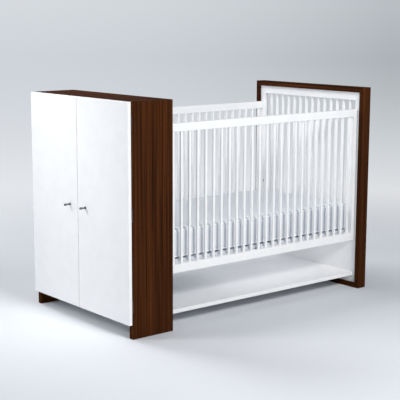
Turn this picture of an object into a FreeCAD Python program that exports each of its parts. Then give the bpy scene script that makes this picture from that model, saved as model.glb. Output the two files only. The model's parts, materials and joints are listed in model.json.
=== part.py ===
import FreeCAD, Part
import Sketcher
import math
import os
import re

# A baby crib with a two-door cabinet at one end. The long direction is X: the cabinet
# doors face -X and the walnut end frame stands at +X. The front of the crib faces -Y.
# The origin is on the floor, under the middle of the whole piece with its door knobs.

doc = FreeCAD.newDocument("Crib")
sizes = doc.addObject("Spreadsheet::Sheet", "Sizes")
scratch = doc.addObject("Spreadsheet::Sheet", "Scratch")

# Driving dimensions in millimetres: name, size, meaning.
dimensions = [
    ("overall_length", 1652, "outer face of the doors to the outer edge of the end frame"),
    ("overall_width", 864, "over the walnut boards"),
    ("overall_height", 1134, "floor to the walnut tops"),
    ("board", 28, "thickness of the walnut boards"),
    ("door_thick", 18, "thickness of a door"),
    ("door_gap", 2, "between a closed door and the cabinet"),
    ("door_inset", 1, "outer edge of a door to the outer face of the cabinet"),
    ("door_split", 3, "between the two closed doors"),
    ("door_foot", 71, "floor to the doors' lower edge"),
    ("case_depth", 242, "depth of the cabinet's walnut boards"),
    ("lining", 18, "thickness of the cabinet's white panels"),
    ("lining_recess", 2, "crib head panel behind the walnut edges"),
    ("store_depth", 205, "depth of a cabinet shelf"),
    ("store_play", 1, "side play of a cabinet shelf"),
    ("frame_depth", 60, "depth of the walnut end frame"),
    ("panel_thick", 26, "thickness of the white end panel"),
    ("panel_recess", 10, "white end panel behind the walnut frame's inner edge"),
    ("panel_stile", 36, "width of the end panel's stiles"),
    ("panel_rail", 45, "height of the end panel's top rail"),
    ("side_out", 384, "middle of the crib to the outer face of a slatted side"),
    ("side_thick", 26, "thickness of a slatted side"),
    ("side_top", 1012, "floor to the top of a slatted side"),
    ("top_rail", 40, "height of a side's top rail"),
    ("low_rail", 43, "height of a side's lower rail"),
    ("low_rail_foot", 273, "floor to the lower rail"),
    ("stile", 26, "width of a side's stiles"),
    ("slat", 13, "width and depth of a slat"),
    ("slat_pitch", 51.7, "from one side slat to the next"),
    ("slat_round", 2, "rounding of a slat's long edges"),
    ("edge_round", 1.5, "rounding of the boards' long edges"),
    ("shelf_foot", 68, "floor to the open shelf"),
    ("shelf_thick", 20, "thickness of the open shelf"),
    ("deck_foot", 320, "floor to the mattress support at its lowest height"),
    ("deck_thick", 12, "thickness of the mattress support"),
    ("deck_play", 6, "mattress support to the panels around it"),
    ("deck_slot", 14, "width of an air slot"),
    ("deck_slot_long", 240, "length of an air slot"),
    ("deck_slot_pitch", 88, "from one air slot to the next"),
    ("deck_corner", 6, "rounding of the support seen from above"),
    ("mattress_thick", 152, "thickness of the mattress"),
    ("mattress_play", 8, "mattress to the slatted sides"),
    ("mattress_end_play", 13, "mattress to the end panels"),
    ("mattress_corner", 30, "rounding of the mattress seen from above"),
    ("mattress_edge", 9, "rounding of the mattress's upper and lower edges"),
    ("rest_gap", 0.4, "between loose pieces that lie on each other"),
    ("height_step", 75, "from one mattress height to the next"),
    ("bracket_wide", 24, "width of a support bracket"),
    ("bracket_leg", 30, "length of a bracket's legs"),
    ("bracket_thick", 2.5, "sheet thickness of a bracket"),
    ("insert_radius", 5, "outer radius of a threaded insert"),
    ("insert_deep", 13, "length of a threaded insert"),
    ("insert_down", 18, "top of a bracket to its bolt"),
    ("insert_end", 1, "gap behind a threaded insert and in front of a bolt's tip"),
    ("bolt_radius", 3, "radius of an M6 shank"),
    ("bolt_head_radius", 6, "radius of an M6 head"),
    ("bolt_head", 4, "height of an M6 head"),
    ("bolt_reach", 36, "bolt's length inside a rail"),
    ("nut_radius", 5, "radius of a barrel nut"),
    ("nut_long", 22, "length of a barrel nut"),
    ("nut_back", 8, "bolt's tip to the middle of its barrel nut"),
    ("fit", 0.1, "clearance on the radius of a fastener's hole"),
    ("dowel_fit", 0.025, "clearance on the radius of a dowel's or an insert's hole"),
    ("screw_radius", 2.5, "radius of a shelf screw"),
    ("screw_head_radius", 5, "radius of a shelf screw's head"),
    ("screw_head", 2, "height of a shelf screw's head"),
    ("shelf_screw_pitch", 288, "from one shelf screw or dowel to the next"),
    ("shelf_dowel_back", 11, "shelf dowel's length inside the crib head panel"),
    ("shelf_dowel_long", 46, "length of a shelf dowel"),
    ("shelf_dowel_hole", 48, "length of a shelf dowel's hole, from the dowel's end"),
    ("screw_reach", 40, "shelf screw's length inside the shelf"),
    ("dowel_radius", 4, "radius of a mitre dowel"),
    ("dowel_long", 24, "length of a mitre dowel"),
    ("knob_up", 591, "floor to the middle of a knob"),
    ("knob_off", 69.5, "middle of the cabinet to a knob"),
    ("knob_long", 34, "length of a knob"),
    ("knob_rose", 7, "radius of a knob's foot"),
    ("knob_rose_thick", 3, "thickness of a knob's foot"),
    ("knob_neck", 4.5, "radius of a knob's neck"),
    ("knob_head", 6, "radius of a knob's head"),
    ("knob_head_long", 12, "length of a knob's head"),
    ("knob_bevel", 1, "bevel of a knob's head"),
    ("rose_bevel", 0.6, "bevel of a knob's foot"),
    ("knob_bore", 10, "depth of the screw hole in a knob"),
    ("knob_cap", 1.6, "height of the knob screw's head"),
    ("knob_screw_radius", 2, "radius of an M4 knob screw"),
    ("hair", 0.01, "distance that keeps a knob off its own axis and off the door"),
    ("hinge_tall", 64, "height of a hinge"),
    ("hinge_wide", 22, "width of a hinge leaf"),
    ("hinge_leaf", 0.8, "thickness of a hinge leaf"),
    ("hinge_margin", 60, "end of a door to the nearest hinge"),
    ("hinge_play", 0.1, "hinge leaf to the plane through the pins"),
    ("hinge_root", 2.6, "hinge pin's axis to the full-height part of a leaf"),
    ("hinge_screw_in", 13.2, "outer edge of the cabinet to the hinge screws"),
    ("notch_play", 0.3, "clearance of the notch around a hinge's knuckles"),
    ("knuckle_radius", 2.2, "outer radius of a hinge knuckle"),
    ("hinge_pin", 1.1, "radius of a hinge pin"),
    ("knuckle_play", 0.3, "between two knuckles of a hinge"),
    ("hinge_screw", 1.6, "radius of a hinge screw"),
    ("hinge_screw_long", 14, "length of a hinge screw"),
    ("catch_long", 46, "length of a magnetic catch"),
    ("catch_deep", 14, "depth and height of a magnetic catch"),
    ("catch_in", 28, "middle of the cabinet to a magnetic catch"),
    ("plate_edge", 3, "end of a catch to the end of its plate"),
    ("plate_thick", 1.2, "thickness of a catch plate"),
    ("pin_radius", 2.5, "radius of a shelf pin"),
    ("pin_front", 55, "front of the cabinet to the front shelf pins"),
    ("pin_back", 45, "crib head panel to the back shelf pins"),
    ("pin_reach", 9, "shelf pin's length in the board"),
    ("pin_out", 9, "shelf pin's length under the shelf"),
]
side_slats = 25
end_slats = 14
store_shelves = 3
deck_slots = 14
height_rows = 4

for row, (name, size, meaning) in enumerate(dimensions, start=1):
    sizes.set(f"A{row}", meaning)
    sizes.set(f"B{row}", str(size))
    sizes.setAlias(f"B{row}", name)
doc.recompute()

nodes = []

# Places along X, written with the names of the sheet.
x_door = "((knob_long - overall_length) / 2)"
x_case = f"({x_door} + door_thick + door_gap)"
x_case_end = f"({x_case} + case_depth)"
x_head = f"({x_case_end} - lining_recess)"
x_end = "((knob_long + overall_length) / 2)"
x_frame = f"({x_end} - frame_depth)"
x_panel = f"({x_frame} + panel_recess)"
crib_long = f"({x_panel} - {x_head})"
crib_middle = f"(({x_panel} + {x_head}) / 2)"
y_outer = "(overall_width / 2)"
y_inner = "(overall_width / 2 - board)"
side_in = "(side_out - side_thick)"
door_axis = f"({x_case} - door_gap / 2)"
top_rail_foot = "(side_top - top_rail)"
low_rail_top = "(low_rail_foot + low_rail)"
bolt_across = "((side_out + overall_width / 2 - board - panel_stile) / 2)"
bracket_up = "(deck_foot - rest_gap)"

upright = FreeCAD.Rotation()
along_x = FreeCAD.Rotation(FreeCAD.Vector(0, 1, 0), 90)
along_minus_x = FreeCAD.Rotation(FreeCAD.Vector(0, 1, 0), -90)
along_y = FreeCAD.Rotation(FreeCAD.Vector(1, 0, 0), -90)
along_minus_y = FreeCAD.Rotation(FreeCAD.Vector(1, 0, 0), 90)


def sized(text):
    # "board + fit" becomes "Sizes.board + Sizes.fit".
    return re.sub(r"[a-z]+(?:_[a-z]+)*", lambda word: "Sizes." + word.group(), str(text))


def value(text):
    # The size of an expression in millimetres, worked out in a cell of a sheet of its own.
    scratch.set("A1", "=" + sized(text))
    scratch.recompute()
    return float(scratch.get("A1"))


def bind(item, **properties):
    for name, text in properties.items():
        item.setExpression(name, sized(text))
    return item


def place(item, x, y, z, turn=upright):
    item.Placement = FreeCAD.Placement(FreeCAD.Vector(), turn)
    for axis, text in zip("xyz", (x, y, z)):
        item.setExpression(f"Placement.Base.{axis}", sized(text))
    return item


def node(item):
    nodes.append(item)
    return item


def box(name, x, y, z, length, width, height):
    item = bind(doc.addObject("Part::Box", name), Length=length, Width=width, Height=height)
    return place(item, x, y, z)


def rod(name, x, y, z, radius, height, turn=upright):
    item = bind(doc.addObject("Part::Cylinder", name), Radius=radius, Height=height)
    return place(item, x, y, z, turn)


def group(name, items):
    item = doc.addObject("Part::Compound", name)
    item.Links = items
    return item


def cut(name, base, tools):
    item = doc.addObject("Part::Cut", name)
    item.Base = base
    item.Tool = group(name + "_tools", tools)
    return item


def fuse(name, items):
    item = doc.addObject("Part::MultiFuse", name)
    item.Shapes = items
    return item


def rounded(name, base, radius_name, along=None):
    # Rounds every edge of a board, or only the edges that run along one direction.
    doc.recompute()
    radius = value(radius_name)
    edges = []
    for number, edge in enumerate(base.Shape.Edges, start=1):
        if edge.Curve.TypeId != "Part::GeomLine":
            continue
        if along is None or abs(edge.tangentAt(edge.FirstParameter).dot(along)) > 0.99:
            edges.append((number, radius, radius))
    item = doc.addObject("Part::Fillet", name)
    item.Base = base
    item.Edges = edges
    return item


def board(name, x, y, z, length, width, height):
    return rounded(name, box(name + "_blank", x, y, z, length, width, height), "edge_round")


axis_y = FreeCAD.Vector(0, 1, 0)
axis_z = FreeCAD.Vector(0, 0, 1)


def sketched(body, name, plane, corners):
    # A closed outline whose corners are dimensioned from the body's origin.
    sketch = body.newObject("Sketcher::SketchObject", name)
    support = [feature for feature in body.Origin.OriginFeatures if feature.Role == plane][0]
    sketch.AttachmentSupport = (support, [""])
    sketch.MapMode = "FlatFace"
    count = len(corners)
    points = [FreeCAD.Vector(value(across), value(up), 0) for across, up in corners]
    for index in range(count):
        sketch.addGeometry(Part.LineSegment(points[index], points[(index + 1) % count]), False)
    for index in range(count):
        sketch.addConstraint(Sketcher.Constraint("Coincident", index, 2, (index + 1) % count, 1))
    for index, (across, up) in enumerate(corners):
        for kind, text in (("DistanceX", across), ("DistanceY", up)):
            number = sketch.addConstraint(Sketcher.Constraint(kind, -1, 1, index, 1, value(text)))
            sketch.setExpression(f"Constraints[{number}]", sized(text))
    return sketch


def padded(body, sketch, length):
    pad = body.newObject("PartDesign::Pad", sketch.Name + "_pad")
    pad.Profile = sketch
    return bind(pad, Length=length)


def edge_names(feature, along, wanted):
    # Names of the straight edges that run along a direction (wanted) or across it (not wanted).
    names = []
    for number, edge in enumerate(feature.Shape.Edges, start=1):
        parallel = abs(edge.tangentAt(edge.FirstParameter).dot(along)) > 0.99
        if parallel == wanted:
            names.append(f"Edge{number}")
    return names


def body_fillet(body, base, radius, along, wanted):
    doc.recompute()
    fillet = body.newObject("PartDesign::Fillet", f"{body.Name}_round_{len(body.Group)}")
    fillet.Base = (base, edge_names(base, along, wanted))
    return bind(fillet, Radius=radius)


# Mitred walnut boards. Each is a wedge whose long side is the outer one, and whose mitred
# ends are cut at 45 degrees. The wedge's own X runs along the board and its Y goes inwards.

def facing(long_way, inwards):
    third = long_way.cross(inwards)
    return FreeCAD.Rotation(long_way, inwards, third, "XYZ")


turn_top = facing(axis_y, -axis_z)
turn_bottom = facing(axis_y, axis_z)
turn_front = facing(axis_z, axis_y)
turn_rear = facing(axis_z, -axis_y)


def mitred(name, x, y, z, turn, long, depth, foot="board"):
    wedge = doc.addObject("Part::Wedge", name)
    bind(wedge, Xmin="0", Xmax=long, X2min=foot, X2max=f"{long} - board")
    bind(wedge, Ymin="0", Ymax="board", Zmin="0", Zmax=depth, Z2min="0", Z2max=depth)
    return place(wedge, x, y, z, turn)


def mitre_dowels(name, x, side, level, count, pitch, radius):
    # Dowels that cross a mitre at right angles. The side is -1 at the front and 1 at the rear,
    # the level 1 at the top and -1 at the floor.
    turn = FreeCAD.Rotation(axis_z, FreeCAD.Vector(0, side, level))
    middle = f"overall_height / 2 + {level} * (overall_height / 2 - board / 2)"
    half = f"(dowel_long / 2 * {math.sqrt(0.5):.5f})"
    return [rod(f"{name}_{index + 1}", f"{x} + {pitch} * {index}",
                f"{side} * ({y_outer} - board / 2 - {half})", f"{middle} - {level} * {half}",
                radius, "dowel_long", turn) for index in range(count)]


frame_mitre = (f"({x_frame} + frame_depth / 4)", 2, "(frame_depth / 2)")
case_mitre = (f"({x_case} + case_depth / 6)", 3, "(case_depth / 3)")


def corner_dowels(name, corner, side, level, radius):
    first, count, pitch = corner
    return mitre_dowels(name, first, side, level, count, pitch, radius)


def corner_holes(name, corner, side, level):
    return corner_dowels(name, corner, side, level, "dowel_radius + dowel_fit")


node(group("mitre_dowels",
           corner_dowels("dowel_end_front_top", frame_mitre, -1, 1, "dowel_radius")
           + corner_dowels("dowel_end_rear_top", frame_mitre, 1, 1, "dowel_radius")
           + corner_dowels("dowel_end_front_low", frame_mitre, -1, -1, "dowel_radius")
           + corner_dowels("dowel_end_rear_low", frame_mitre, 1, -1, "dowel_radius")
           + corner_dowels("dowel_case_front", case_mitre, -1, 1, "dowel_radius")
           + corner_dowels("dowel_case_rear", case_mitre, 1, 1, "dowel_radius")))

# The end frame: a loop of four walnut boards.
end_top = mitred("end_top_blank", x_end, f"-{y_outer}", "overall_height", turn_top,
                 "overall_width", "frame_depth")
end_bottom = mitred("end_bottom_blank", x_frame, f"-{y_outer}", "0", turn_bottom,
                    "overall_width", "frame_depth")
end_front = mitred("end_front_blank", x_end, f"-{y_outer}", "0", turn_front,
                   "overall_height", "frame_depth")
end_rear = mitred("end_rear_blank", x_frame, y_outer, "0", turn_rear, "overall_height", "frame_depth")
node(cut("end_top_board", end_top, corner_holes("et_front", frame_mitre, -1, 1)
         + corner_holes("et_rear", frame_mitre, 1, 1)))
node(cut("end_bottom_board", end_bottom, corner_holes("eb_front", frame_mitre, -1, -1)
         + corner_holes("eb_rear", frame_mitre, 1, -1)))
node(cut("end_front_post", end_front, corner_holes("ef_top", frame_mitre, -1, 1)
         + corner_holes("ef_low", frame_mitre, -1, -1)))
node(cut("end_rear_post", end_rear, corner_holes("er_top", frame_mitre, 1, 1)
         + corner_holes("er_low", frame_mitre, 1, -1)))


# Bolts that hold the slatted sides: along X, through an end panel into a rail, where a barrel
# nut lies across the rail. The end is -1 at the cabinet and 1 at the end frame.

bolt_places = []
for end in (-1, 1):
    for side in (-1, 1):
        for level in (f"({top_rail_foot} + top_rail / 2)", "(low_rail_foot + low_rail / 2)"):
            bolt_places.append((end, side, level))


def bolt_start(end):
    return f"({x_head} - lining)" if end < 0 else f"({x_panel} + panel_thick)"


def bolt_turn(end):
    return along_x if end < 0 else along_minus_x


def bolt_length(end):
    return "(lining + bolt_reach)" if end < 0 else "(panel_thick + bolt_reach)"


def bolt_shank(name, end, side, level, radius):
    return rod(name, bolt_start(end), f"{side} * {bolt_across}", level, radius, bolt_length(end),
               bolt_turn(end))


def nut_place(end):
    return f"({x_head} + bolt_reach - nut_back)" if end < 0 else f"({x_panel} - bolt_reach + nut_back)"


def nut_blank(name, end, side, level, radius, length):
    turn = along_y if side > 0 else along_minus_y
    return rod(name, nut_place(end), f"{side} * ({side_in} + insert_end)", level, radius, length, turn)


bolts = []
nuts = []
for number, (end, side, level) in enumerate(bolt_places, start=1):
    shank = bolt_shank(f"bolt_shank_{number}", end, side, level, "bolt_radius")
    head = rod(f"bolt_head_{number}", f"{bolt_start(end)} + {end} * bolt_head", f"{side} * {bolt_across}",
               level, "bolt_head_radius", "bolt_head", bolt_turn(end))
    bolts.append(fuse(f"bolt_{number}", [shank, head]))
    blank = nut_blank(f"nut_blank_{number}", end, side, level, "nut_radius", "nut_long")
    bore = bolt_shank(f"nut_bore_{number}", end, side, level, "bolt_radius + fit")
    nuts.append(cut(f"nut_{number}", blank, [bore]))
node(group("rail_bolts", bolts))
node(group("barrel_nuts", nuts))

# Rows of threaded inserts on the inner faces, at each corner of the crib, hold the support
# brackets at one of the mattress heights. The lowest row is in the lower rails.

insert_across = {-1: f"({x_head} + stile / 2)", 1: f"({x_panel} - stile / 2)"}


def insert_up(row):
    return f"({bracket_up} - insert_down + height_step * {row})"


def insert_rod(name, end, side, row, radius, length, out="0"):
    turn = along_y if side > 0 else along_minus_y
    return rod(name, insert_across[end], f"{side} * ({side_in} - {out})", insert_up(row), radius,
               length, turn)


def insert_hole(name, end, side, row):
    return insert_rod(name, end, side, row, "insert_radius + dowel_fit", "insert_deep + insert_end")


inserts = []
for end in (-1, 1):
    for side in (-1, 1):
        for row in range(height_rows):
            name = f"insert_{end + 2}_{side + 2}_{row + 1}"
            sleeve = insert_rod(name + "_sleeve", end, side, row, "insert_radius", "insert_deep")
            bore = insert_rod(name + "_bore", end, side, row, "bolt_radius + fit", "insert_deep")
            inserts.append(cut(name, sleeve, [bore]))
node(group("height_inserts", inserts))

brackets = []
bracket_bolts = []
for end in (-1, 1):
    for side in (-1, 1):
        name = f"{end + 2}_{side + 2}"
        start = f"({insert_across[end]} - bracket_wide / 2)"
        low_y = f"({side_in} - bracket_thick)" if side > 0 else f"-{side_in}"
        flat_y = f"({side_in} - bracket_leg)" if side > 0 else f"-{side_in}"
        upright_leg = box(f"bracket_upright_{name}", start, low_y, f"{bracket_up} - bracket_leg",
                          "bracket_wide", "bracket_thick", "bracket_leg")
        flat_leg = box(f"bracket_flat_{name}", start, flat_y, f"{bracket_up} - bracket_thick",
                       "bracket_wide", "bracket_leg", "bracket_thick")
        angle = fuse(f"bracket_angle_{name}", [upright_leg, flat_leg])
        hole = insert_rod(f"bracket_hole_{name}", end, side, 0, "bolt_radius + fit",
                          "bracket_thick * 3", "bracket_thick * 2")
        brackets.append(cut(f"bracket_{name}", angle, [hole]))
        shank = insert_rod(f"bracket_shank_{name}", end, side, 0, "bolt_radius",
                           "bracket_thick + insert_deep - insert_end", "bracket_thick")
        cap = insert_rod(f"bracket_cap_{name}", end, side, 0, "bolt_head_radius", "bolt_head",
                         "bracket_thick - bolt_head")
        bracket_bolts.append(fuse(f"bracket_bolt_{name}", [shank, cap]))
node(group("support_brackets", brackets))
node(group("bracket_bolts", bracket_bolts))


# The two slatted sides: side is -1 at the front and 1 at the rear.

def slatted_side(word, side):
    low_y = "-side_out" if side < 0 else side_in
    slat_y = f"({low_y} + (side_thick - slat) / 2)"
    for rail, foot in (("top_rail", top_rail_foot), ("low_rail", "low_rail_foot")):
        blank = board(f"{word}_{rail}_board", x_head, low_y, foot, crib_long, "side_thick", rail)
        level = f"({foot} + {rail} / 2)"
        tools = []
        for end in (-1, 1):
            name = f"{word}_{rail}_{end + 2}"
            tools.append(bolt_shank(f"{name}_bore", end, side, level, "bolt_radius + fit"))
            tools.append(nut_blank(f"{name}_nut", end, side, level, "nut_radius + fit", "nut_long + fit"))
            if rail == "low_rail":
                tools.append(insert_hole(f"{name}_insert", end, side, 0))
        node(cut(f"{word}_{rail}", blank, tools))
    for place_word, end, start in (("left", -1, x_head), ("right", 1, f"({x_panel} - stile)")):
        blank = box(f"{word}_{place_word}_stile_board", start, low_y, low_rail_top, "stile", "side_thick",
                    f"{top_rail_foot} - {low_rail_top}")
        tools = [insert_hole(f"{word}_{place_word}_hole_{row}", end, side, row)
                 for row in range(1, height_rows)]
        node(cut(f"{word}_{place_word}_stile", blank, tools))
    slats = []
    for index in range(side_slats):
        x = f"{crib_middle} + slat_pitch * {index - (side_slats - 1) / 2} - slat / 2"
        blank = box(f"{word}_slat_blank_{index + 1}", x, slat_y, low_rail_top, "slat", "slat",
                    f"{top_rail_foot} - {low_rail_top}")
        slats.append(rounded(f"{word}_slat_{index + 1}", blank, "slat_round", axis_z))
    node(group(f"{word}_slats", slats))


slatted_side("front", -1)
slatted_side("rear", 1)


# The white end panel inside the walnut loop: stiles, a top rail, slats and a low solid board.

panel_clear = f"(2 * ({y_inner} - panel_stile))"
panel_tall = "(overall_height - 2 * board)"
panel_rail_foot = "(overall_height - board - panel_rail)"
for word, side in (("front", -1), ("rear", 1)):
    low_y = f"-{y_inner}" if side < 0 else f"({y_inner} - panel_stile)"
    blank = board(f"end_panel_{word}_board", x_panel, low_y, "board", "panel_thick", "panel_stile",
                  panel_tall)
    bores = [bolt_shank(f"end_{word}_bore_{number}", end, across, level, "bolt_radius + fit")
             for number, (end, across, level) in enumerate(bolt_places, start=1)
             if end > 0 and across == side]
    node(cut(f"end_panel_{word}_stile", blank, bores))
node(board("end_panel_top_rail", x_panel, f"-{panel_clear} / 2", panel_rail_foot, "panel_thick",
           panel_clear, "panel_rail"))


shelf_middle = "(shelf_foot + shelf_thick / 2)"


def shelf_screw(name, index, radius):
    return rod(name, bolt_start(1), f"shelf_screw_pitch * {index}", shelf_middle, radius,
               "panel_thick + screw_reach", bolt_turn(1))


def shelf_dowel(name, index, radius, length):
    return rod(name, f"{x_head} - shelf_dowel_back", f"shelf_screw_pitch * {index}", shelf_middle,
               radius, length, along_x)


low_board = box("end_panel_low_blank", x_panel, f"-{panel_clear} / 2", "board", "panel_thick",
                panel_clear, f"{low_rail_top} - board")
node(cut("end_panel_low_board", low_board,
         [shelf_screw(f"end_shelf_bore_{index + 2}", index, "screw_radius + fit") for index in (-1, 0, 1)]))
slats = []
for index in range(end_slats):
    y = f"-{panel_clear} / 2 + {panel_clear} / {end_slats + 1} * {index + 1} - slat / 2"
    blank = box(f"end_slat_blank_{index + 1}", f"{x_panel} + (panel_thick - slat) / 2", y, low_rail_top,
                "slat", "slat", f"{panel_rail_foot} - {low_rail_top}")
    slats.append(rounded(f"end_slat_{index + 1}", blank, "slat_round", axis_z))
node(group("end_slats", slats))

# The open shelf under the mattress: screwed through the end panel, and dowelled to the cabinet.
shelf_blank = board("storage_shelf_board", x_head, "-side_out", "shelf_foot", crib_long,
                    "2 * side_out", "shelf_thick")
shelf_bores = []
shelf_screws = []
shelf_dowels = []
for index in (-1, 0, 1):
    shelf_bores.append(shelf_screw(f"shelf_bore_{index + 2}", index, "screw_radius + fit"))
    shelf_bores.append(shelf_dowel(f"shelf_dowel_bore_{index + 2}", index,
                                   "dowel_radius + dowel_fit", "shelf_dowel_hole"))
    shank = shelf_screw(f"shelf_shank_{index + 2}", index, "screw_radius")
    head = rod(f"shelf_head_{index + 2}", f"{bolt_start(1)} + screw_head",
               f"shelf_screw_pitch * {index}", shelf_middle, "screw_head_radius", "screw_head",
               bolt_turn(1))
    shelf_screws.append(fuse(f"shelf_screw_{index + 2}", [shank, head]))
    shelf_dowels.append(shelf_dowel(f"shelf_dowel_{index + 2}", index, "dowel_radius",
                                    "shelf_dowel_long"))
node(cut("storage_shelf", shelf_blank, shelf_bores))
node(group("shelf_screws", shelf_screws))
node(group("shelf_dowels", shelf_dowels))

# The mattress support: one board with air slots.
deck = doc.addObject("PartDesign::Body", "mattress_support")
half_long = f"({crib_long} / 2 - deck_play)"
half_wide = f"({side_in} - deck_play)"
outline = sketched(deck, "deck_outline", "XY_Plane", [
    (f"-{half_long}", f"-{half_wide}"), (half_long, f"-{half_wide}"),
    (half_long, half_wide), (f"-{half_long}", half_wide)])
deck_pad = padded(deck, outline, "deck_thick")
body_fillet(deck, deck_pad, "deck_corner", axis_z, True)
slot_start = f"(-deck_slot_pitch * {(deck_slots - 1) / 2} - deck_slot / 2)"
for word, side in (("front", -1), ("rear", 1)):
    near = f"({side} * {side_in} / 2 - deck_slot_long / 2)"
    far = f"({side} * {side_in} / 2 + deck_slot_long / 2)"
    slot = sketched(deck, f"deck_slot_{word}", "XY_Plane", [
        (slot_start, near), (f"{slot_start} + deck_slot", near),
        (f"{slot_start} + deck_slot", far), (slot_start, far)])
    pocket = deck.newObject("PartDesign::Pocket", f"deck_pocket_{word}")
    pocket.Profile = slot
    pocket.Type = "ThroughAll"
    pocket.Midplane = True
    doc.recompute()
    pattern = deck.newObject("PartDesign::LinearPattern", f"deck_pattern_{word}")
    pattern.Originals = [pocket]
    pattern.Direction = (slot, ["H_Axis"])
    pattern.Occurrences = deck_slots
    bind(pattern, Length=f"deck_slot_pitch * {deck_slots - 1}")
    deck.Tip = pattern
place(deck, crib_middle, "0", "deck_foot")
node(deck)

# The mattress.
mattress = doc.addObject("PartDesign::Body", "mattress")
half_long = f"({crib_long} / 2 - mattress_end_play)"
half_wide = f"({side_in} - mattress_play)"
outline = sketched(mattress, "mattress_outline", "XY_Plane", [
    (f"-{half_long}", f"-{half_wide}"), (half_long, f"-{half_wide}"),
    (half_long, half_wide), (f"-{half_long}", half_wide)])
mattress_pad = padded(mattress, outline, "mattress_thick")
mattress_sides = body_fillet(mattress, mattress_pad, "mattress_corner", axis_z, True)
doc.recompute()
rim = []
for number, edge in enumerate(mattress_sides.Shape.Edges, start=1):
    if edge.BoundBox.ZLength < edge.BoundBox.DiagonalLength / 2:
        rim.append(f"Edge{number}")
mattress_rim = mattress.newObject("PartDesign::Fillet", "mattress_rim")
mattress_rim.Base = (mattress_sides, rim)
bind(mattress_rim, Radius="mattress_edge")
place(mattress, crib_middle, "0", "deck_foot + deck_thick + rest_gap")
node(mattress)


# The cabinet.

hinge_feet = ["(door_foot + hinge_margin)", "((door_foot + overall_height - hinge_tall) / 2)",
              "(overall_height - hinge_margin - hinge_tall)"]
hinge_screw_levels = (0.2, 0.8)
store_space = "((overall_height - board - door_foot - lining) / 4)"


def store_foot(number):
    return f"(door_foot + lining + {store_space} * {number} - lining / 2)"


def knuckle_notches(name, side):
    return [rod(f"{name}_notch_{index}", door_axis, f"{side} * {y_outer}", f"{foot} - notch_play",
                "knuckle_radius + notch_play", "hinge_tall + 2 * notch_play")
            for index, foot in enumerate(hinge_feet, start=1)]


def hinge_screws(name, side, into_case, radius):
    # Two screws in each leaf, from the leaf's face into the wood.
    screws = []
    turn = along_x if into_case else along_minus_x
    x = f"{door_axis} + hinge_play" if into_case else f"{door_axis} - hinge_play"
    for index, foot in enumerate(hinge_feet, start=1):
        for number, level in enumerate(hinge_screw_levels, start=1):
            screws.append(rod(f"{name}_{index}_{number}", x, f"{side} * ({y_outer} - hinge_screw_in)",
                              f"{foot} + hinge_tall * {level}", radius, "hinge_screw_long", turn))
    return screws


def pin_rod(name, side, shelf, place_x, radius, reach, out):
    turn = along_y if side > 0 else along_minus_y
    return rod(name, place_x, f"{side} * ({y_inner} - {out})", f"{store_foot(shelf)} - pin_radius",
               radius, f"{reach} + {out}", turn)


pin_places = (f"({x_case} + pin_front)", f"({x_head} - lining - pin_back)")
shelf_pins = []
for word, side in (("front", -1), ("rear", 1)):
    low_x = x_case_end if side < 0 else x_case
    turn = turn_front if side < 0 else turn_rear
    blank = mitred(f"case_{word}_blank", low_x, f"{side} * {y_outer}", "0", turn,
                   "overall_height", "case_depth", "0")
    holes = corner_holes(f"case_{word}_corner", case_mitre, side, 1)
    holes += knuckle_notches(f"case_{word}", side)
    holes += hinge_screws(f"case_{word}_screw_hole", side, True, "hinge_screw + fit")
    for shelf in range(1, store_shelves + 1):
        for number, place_x in enumerate(pin_places, start=1):
            name = f"{word}_{shelf}_{number}"
            shelf_pins.append(pin_rod(f"pin_{name}", side, shelf, place_x, "pin_radius",
                                      "pin_reach", "pin_out"))
            holes.append(pin_rod(f"pin_hole_{name}", side, shelf, place_x, "pin_radius + fit",
                                 "pin_reach", "0"))
    node(cut(f"case_{word}_side", blank, holes))
node(group("shelf_pins", shelf_pins))
case_top = mitred("case_top_blank", x_case_end, f"-{y_outer}", "overall_height", turn_top,
                  "overall_width", "case_depth")
node(cut("case_top_board", case_top, corner_holes("case_top_front", case_mitre, -1, 1)
         + corner_holes("case_top_rear", case_mitre, 1, 1)))
node(board("case_bottom_board", x_case, f"-{y_inner}", "door_foot", f"{x_head} - lining - {x_case}",
           f"2 * {y_inner}", "lining"))
head_blank = board("crib_head_blank", f"{x_head} - lining", f"-{y_inner}", "shelf_foot", "lining",
                   f"2 * {y_inner}", "overall_height - board - shelf_foot")
head_bores = [bolt_shank(f"head_bore_{number}", end, side, level, "bolt_radius + fit")
              for number, (end, side, level) in enumerate(bolt_places, start=1) if end < 0]
head_bores += [shelf_dowel(f"head_dowel_bore_{index + 2}", index, "dowel_radius + dowel_fit", "lining")
               for index in (-1, 0, 1)]
node(cut("crib_head_panel", head_blank, head_bores))
shelves = [board(f"store_shelf_{number}", f"{x_head} - lining - store_depth",
                 f"-({y_inner} - store_play)", store_foot(number), "store_depth",
                 f"2 * ({y_inner} - store_play)", "lining")
           for number in range(1, store_shelves + 1)]
node(group("cabinet_shelves", shelves))


# Doors, with their knobs, hinges and catches.

def knob_screw(name, side, radius, length):
    return rod(name, f"{x_door} + door_thick", f"{side} * knob_off", "knob_up", radius, length,
               along_minus_x)


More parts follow.
